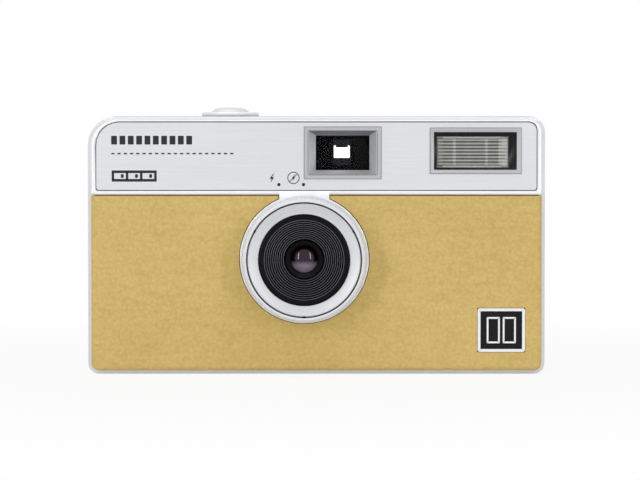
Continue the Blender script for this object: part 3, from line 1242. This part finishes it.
# ---------------------------------------------------------------- film transport
def build_advance():
    """The take-up spool with the thumb wheel on its shaft, the sprocket shaft and the counter dial."""
    place = (SPOOL_X, SPOOL_Y, 0)
    low = Z_CHAMBER + RUNNING
    high = Z_CHAMBER_TOP - RUNNING
    spool = turned(
        [
            (0, Z_DIAL + DIAL_THICK + SEAT),
            (SPOOL_SHAFT, Z_DIAL + DIAL_THICK + SEAT),
            (SPOOL_SHAFT, high),
            (SPOOL_FLANGE, high),
            (SPOOL_FLANGE, high - FLANGE_WALL),
            (SPOOL_RADIUS, high - FLANGE_WALL),
            (SPOOL_RADIUS, low + FLANGE_WALL),
            (SPOOL_FLANGE, low + FLANGE_WALL),
            (SPOOL_FLANGE, low),
            (SPOOL_PIVOT, low),
            (SPOOL_PIVOT, low - SPOOL_PIVOT_DEEP),
            (0, low - SPOOL_PIVOT_DEEP),
        ],
        place,
        steps=24,
        closed=False,
    )
    slot = box((SPOOL_X - SLOT_HALF, SPOOL_Y + SPOOL_RADIUS / 2, LENS_Z - SLOT_RISE),
               (SPOOL_X + SLOT_HALF, SPOOL_Y + SPOOL_RADIUS + THROUGH, LENS_Z + SLOT_RISE))
    piece("takeup_spool", cut(spool, slot), "black")

    wheel = turned(
        [
            (WHEEL_RADIUS - WHEEL_CHAMFER, Z_WHEEL + WHEEL_THICK),
            (WHEEL_RADIUS, Z_WHEEL + WHEEL_THICK - WHEEL_CHAMFER),
            (WHEEL_RADIUS, Z_WHEEL + WHEEL_CHAMFER),
            (WHEEL_RADIUS - WHEEL_CHAMFER, Z_WHEEL),
            (SPOOL_SHAFT + SEAT, Z_WHEEL),
            (SPOOL_SHAFT + SEAT, Z_WHEEL + WHEEL_THICK),
        ],
        place,
        steps=WHEEL_RIBS,
    )
    piece("advance_wheel", wheel, "black")
    on_joint("advance_axis", (SPOOL_X, SPOOL_Y, Z_WHEEL), [spool, wheel])

    dial = rod(DIAL_RADIUS, (SPOOL_X, SPOOL_Y, Z_DIAL), DIAL_THICK, sides=48)
    cut(dial, rod(SPOOL_SHAFT + SEAT, (SPOOL_X, SPOOL_Y, Z_DIAL - THROUGH), 4 * THROUGH, sides=32))
    piece("counter_dial", dial, "white")
    on_joint("counter_axis", (SPOOL_X, SPOOL_Y, Z_DIAL), [dial])
    window = turned(
        [
            (0, Z_TOP - SEAT),
            (COUNTER_WINDOW, Z_TOP - SEAT),
            (COUNTER_WINDOW, Z_TOP - WALL - SEAT),
            (COUNTER_WINDOW + 3 * SEAT, Z_TOP - WALL - SEAT),
            (COUNTER_WINDOW + 3 * SEAT, Z_TOP - WALL - 3 * SEAT),
            (0, Z_TOP - WALL - 3 * SEAT),
        ],
        (SPOOL_X, SPOOL_Y - COUNTER_OFFSET, 0),
        steps=24,
        closed=False,
    )
    piece("counter_window", window, "clear")

    low = Z_CHAMBER - SHAFT_SEAT + RUNNING
    shaft = rod(SPROCKET_SHAFT, (SPROCKET_X, SPROCKET_Y, low), Z_DECK + SHAFT_SEAT - low, sides=24)
    for side in (-1, 1):
        z = LENS_Z + side * PERFORATION_OFFSET - SPROCKET_THICK / 2
        join(shaft, rod(SPROCKET_RADIUS, (SPROCKET_X, SPROCKET_Y, z), SPROCKET_THICK, sides=32))
    for side in (-1, 1):
        z = LENS_Z + side * PERFORATION_OFFSET
        for n in range(SPROCKET_TEETH // 2):
            reach = SPROCKET_RADIUS + SPROCKET_TOOTH
            tooth = box((SPROCKET_X - reach, SPROCKET_Y - TOOTH_HALF[0], z - TOOTH_HALF[1]),
                        (SPROCKET_X + reach, SPROCKET_Y + TOOTH_HALF[0], z + TOOTH_HALF[1]))
            turn_about(tooth, (SPROCKET_X, SPROCKET_Y, z), math.tau * (n + 0.5) / SPROCKET_TEETH)
            join(shaft, tooth)
    piece("sprocket_shaft", shaft, "black")
    on_joint("sprocket_axis", (SPROCKET_X, SPROCKET_Y, Z_DECK), [shaft])


def turn_about(obj, centre, angle):
    """Turns an object that is centred on a vertical axis."""
    obj.rotation_euler = (0, 0, angle)
    obj.location = (centre[0], centre[1], obj.location[2])


def build_rewind():
    """The rewind shaft with its disc and fork, the folding arm, its pin and the grip."""
    x, y = CASSETTE_X, CASSETTE_Y
    z_disc_top = Z_CRANK_DISC + CRANK_DISC
    knob = rod(CRANK_RADIUS, (x, y, Z_CRANK_DISC), CRANK_DISC, sides=56)
    z_shaft = Z_CHAMBER_TOP - FORK_CLEAR
    join(knob, rod(REWIND_SHAFT, (x, y, z_shaft), Z_CRANK_DISC - z_shaft + SEAT, sides=24))
    join(knob, box((x - FORK_SIZE[0] / 2, y - FORK_SIZE[1] / 2, z_shaft - FORK_SIZE[2]),
                   (x + FORK_SIZE[0] / 2, y + FORK_SIZE[1] / 2, z_shaft + SEAT)))
    ear = (HANDLE_WIDTH / 2 + RUNNING, HANDLE_WIDTH / 2 + RUNNING + EAR_THICK)
    x_pivot = x - CRANK_PIVOT
    for side in (-1, 1):
        y_ends = sorted((y + side * ear[0], y + side * ear[1]))
        join(knob, box((x_pivot - EAR_HALF, y_ends[0], z_disc_top - SEAT),
                       (x_pivot + EAR_HALF, y_ends[1], Z_CRANK_PIVOT + EAR_THICK)))
    x_grip = x + CRANK_REACH
    pin_length = 2 * ear[1] - 2 * SEAT
    cut(
        knob,
        rod(CRANK_PIN + CRANK_PIN_ROOM, (x_pivot, y - 5 * THROUGH, Z_CRANK_PIVOT), 10 * THROUGH, "Y", 12),
        rod(GRIP_RADIUS + RUNNING, (x_grip, y, Z_CRANK_DISC - THROUGH), 4 * THROUGH),
    )
    piece("rewind_knob", knob, "black")
    pin = rod(CRANK_PIN, (x_pivot, y - pin_length / 2, Z_CRANK_PIVOT), pin_length, "Y", 12)
    piece("crank_pin", pin, "steel")

    half = HANDLE_WIDTH / 2
    z_arm = Z_CRANK_PIVOT - HANDLE_THICK / 2
    arm = box((x_pivot, y - half, z_arm), (x_grip, y + half, z_arm + HANDLE_THICK))
    join(
        arm,
        rod(half, (x_grip, y, z_arm), HANDLE_THICK, sides=28),
        rod(CRANK_HUB, (x_pivot, y - half, Z_CRANK_PIVOT), HANDLE_WIDTH, "Y", 20),
        rod(GRIP_PIN, (x_grip, y, Z_CRANK_DISC + SEAT), z_arm - Z_CRANK_DISC, sides=16),
    )
    bore_start = (x_pivot, y - 5 * THROUGH, Z_CRANK_PIVOT)
    cut(arm, rod(CRANK_PIN + CRANK_PIN_ROOM, bore_start, 10 * THROUGH, "Y", 12))
    piece("rewind_crank_arm", arm, "silver")
    grip = rod(GRIP_RADIUS, (x_grip, y, Z_CRANK_DISC + SEAT), z_arm - Z_CRANK_DISC - 2 * SEAT, sides=24)
    cut(grip, rod(GRIP_PIN + SEAT / 2, (x_grip, y, Z_CRANK_DISC - THROUGH), 8 * THROUGH, sides=16))
    piece("crank_grip", grip, "black")
    on_joint("rewind_axis", (x, y, Z_CRANK_DISC), [knob, pin])
    on_joint("crank_fold_axis", (x_pivot, y, Z_CRANK_PIVOT), [arm])
    on_joint("crank_grip_axis", (x_grip, y, z_arm), [grip])


def build_release_button():
    """The rewind release button in the base, under the sprocket shaft."""
    place = (SPROCKET_X, SPROCKET_Y, 0)
    z_flange = WALL + SEAT
    button = turned(
        [
            (0, Z_CHAMBER - SHAFT_SEAT - RELEASE_TRAVEL),
            (RELEASE_STEM, Z_CHAMBER - SHAFT_SEAT - RELEASE_TRAVEL),
            (RELEASE_STEM, z_flange + RELEASE_FLANGE),
            (RELEASE_RADIUS + RELEASE_FLANGE, z_flange + RELEASE_FLANGE),
            (RELEASE_RADIUS + RELEASE_FLANGE, z_flange),
            (RELEASE_RADIUS, z_flange),
            (RELEASE_RADIUS, SEAT),
            (0, SEAT),
        ],
        place,
        steps=24,
        closed=False,
    )
    piece("rewind_release_button", button, "steel")
    on_joint("rewind_release_axis", (SPROCKET_X, SPROCKET_Y, SEAT), [button])


# ---------------------------------------------------------------- back door
def build_back_door():
    """The door with its hinge barrel, hook and guides, the hinge pin, the pressure plate and its spring."""
    lows = knuckle_starts()
    x_plate = HINGE_X + HINGE_RADIUS + RUNNING
    outline = rounded_rectangle((x_plate, Z_DOOR), (X_SIDE, Z_DOOR_TOP), [SHARP, CORNER_BOTTOM, SHARP, SHARP])
    door = facing_front(outline, Y_DOOR, Y_REAR, EDGE_ROUND)
    z_low = lows[0] + KNUCKLE + RUNNING
    z_high = lows[1] - RUNNING
    join(
        door,
        rod(HINGE_RADIUS, (HINGE_X, HINGE_Y, z_low), z_high - z_low, sides=20),
        box((HINGE_X + SEAT, HINGE_Y - SEAT, z_low + SEAT),
            (x_plate + THROUGH, Y_REAR - SEAT, z_high - SEAT)),
    )
    bore_start = (HINGE_X, HINGE_Y, z_low - THROUGH)
    cut(door, rod(HINGE_PIN + SEAT / 2, bore_start, z_high - z_low + 2 * THROUGH, sides=12))
    y, z = latch_low()
    hook_x = X_CHASSIS - HOOK_IN
    join(
        door,
        box((hook_x, y + HOOK_CLEAR, z + HOOK_SHORT),
            (hook_x + HOOK_THICK, Y_DOOR + SEAT, z + LATCH_SIZE[1] - HOOK_SHORT)),
    )
    for side in (-1, 1):
        z_guide = sorted(LENS_Z + side * (PRESSURE[1] / 2 + gap) for gap in (RUNNING, RUNNING + GUIDE_THICK))
        join(door, box((LENS_X - GUIDE_HALF, Y_FILM + PLATE_THIN, z_guide[0]),
                       (LENS_X + GUIDE_HALF, Y_DOOR + SEAT, z_guide[1])))
    piece("back_door", door, "black")
    z_pin = lows[0] + SEAT
    pin = rod(HINGE_PIN, (HINGE_X, HINGE_Y, z_pin), lows[1] + KNUCKLE - SEAT - z_pin, sides=12)
    piece("door_hinge_pin", pin, "steel")

    outline = centred((LENS_X, LENS_Z), PRESSURE, PRESSURE_CORNER)
    plate = facing_front(outline, Y_FILM + RUNNING, Y_FILM + RUNNING + PLATE_THIN)
    piece("pressure_plate", plate, "black")
    y_low = Y_FILM + RUNNING + PLATE_THIN + SEAT
    y_high = Y_DOOR - SEAT
    points = []
    for n in range(SPRING_STEPS + 1):
        share = n / SPRING_STEPS
        bow = abs(math.sin(2 * math.pi * share))
        y = y_high - SPRING_WIRE - (y_high - y_low - 2 * SPRING_WIRE) * bow
        points.append((LENS_X, y, LENS_Z + (share - 0.5) * (PRESSURE[1] - 2 * SPRING_FROM_END)))
    spring = as_mesh(wire(points, SPRING_WIRE))
    piece("pressure_spring", spring, "steel")
    on_joint("door_axis", (HINGE_X, HINGE_Y, LENS_Z), [door, plate, spring])

    y_rear = y_latch() + LATCH_SIZE[0]
    latch = box((X_CHASSIS + SEAT / 2, y_latch(), z), (X_SIDE, y_rear, z + LATCH_SIZE[1]))
    flange = box((X_CHASSIS - LATCH_LIP, y_latch(), z), (X_CHASSIS + SEAT, y_rear, z + LATCH_SIZE[1]))
    join(latch, flange)
    for n in range(LATCH_GROOVES):
        z_groove = z + LATCH_SIZE[1] * (n + 1) / (LATCH_GROOVES + 1)
        cut(latch, box((X_SIDE - GROOVE_DEEP, 0, z_groove - GROOVE_HALF),
                       (X_SIDE * 2, Y_REAR, z_groove + GROOVE_HALF)))
    piece("door_latch", latch, "black")
    on_joint("door_latch_axis", (X_SIDE, y_latch(), z), [latch])


def y_latch():
    """The latch slider's front edge."""
    return latch_low()[0]


# ---------------------------------------------------------------- battery
def build_battery():
    """The AAA cell, its two contacts and the hinged door under it."""
    cell = turned(
        [
            (0, Z_CELL_TOP + CELL_NUB),
            (CELL_NUB_RADIUS, Z_CELL_TOP + CELL_NUB),
            (CELL_NUB_RADIUS, Z_CELL_TOP),
            (CELL_RADIUS, Z_CELL_TOP),
            (CELL_RADIUS, Z_CELL),
            (0, Z_CELL),
        ],
        (CELL_X, CELL_Y, 0),
        steps=32,
        closed=False,
    )
    piece("battery", cell, "cell")
    z = Z_CELL_TOP + CELL_NUB + SEAT
    plate = box((CELL_X - CONTACT_HALF[0], CELL_Y - CONTACT_HALF[1], z),
                (CELL_X + CONTACT_HALF[0], CELL_Y + CONTACT_HALF[1], z + PLATE_SHEET))
    piece("battery_contact_top", plate, "steel")

    y_front = CELL_Y - CELL_RADIUS - CELL_ROOM
    z_hinge = Z_CELL_DOOR + CELL_HINGE
    y_hinge = y_front + CELL_DOOR[1] + CELL_HINGE
    half = CELL_DOOR[0] / 2 - SEAT
    door = box((CELL_X - half, y_front, Z_CELL_DOOR), (CELL_X + half, y_hinge, Z_CELL_DOOR + CELL_DOOR_THICK))
    join(door, rod(CELL_HINGE, (CELL_X - half, y_hinge, z_hinge), 2 * half, "X", 16))
    piece("battery_door", door, "silver")
    spring_start = (CELL_X, CELL_Y, Z_CELL_DOOR + CELL_DOOR_THICK + SEAT)
    spring = as_mesh(coil(spring_start, Z_CELL - SEAT, *CELL_SPRING))
    piece("battery_contact_spring", spring, "steel")
    on_joint("battery_door_axis", (CELL_X, y_hinge, z_hinge), [door, spring])


def build_fasteners():
    """The strap's bar and the two screws that hold the casing to the chassis."""
    x, y, z = strap_bar_place()
    bar = rod(STRAP_BAR, (x, y, z + SEAT), STRAP_GAP[1] + STRAP_BAR_ENDS - 2 * SEAT, sides=16)
    piece("strap_bar", bar, "steel")
    for name, (x, y) in zip(("base_screw_left", "base_screw_right"), BASE_SCREWS):
        screw = rod(SCREW_HEAD, (x, y, SEAT), SCREW_HEAD_THICK, sides=20)
        join(screw, rod(SCREW_SHANK, (x, y, SEAT + SCREW_HEAD_THICK / 2), BASE_SCREW_LENGTH, sides=16))
        long, thin = DRIVER_SLOT
        cut(screw, box((x - long, y - thin, -THROUGH), (x + long, y + thin, DRIVER_DEEP)),
            box((x - thin, y - long, -THROUGH), (x + thin, y + long, DRIVER_DEEP)))
        piece(name, screw, "steel")


build_front_cover()
build_face_plate()
build_leather()
build_body_band()
build_rear_top_cover()
build_chassis()
build_viewfinder()
build_flash()
build_lens()
build_switch_ring()
build_shutter()
build_button()
build_advance()
build_rewind()
build_release_button()
build_back_door()
build_battery()
build_fasteners()
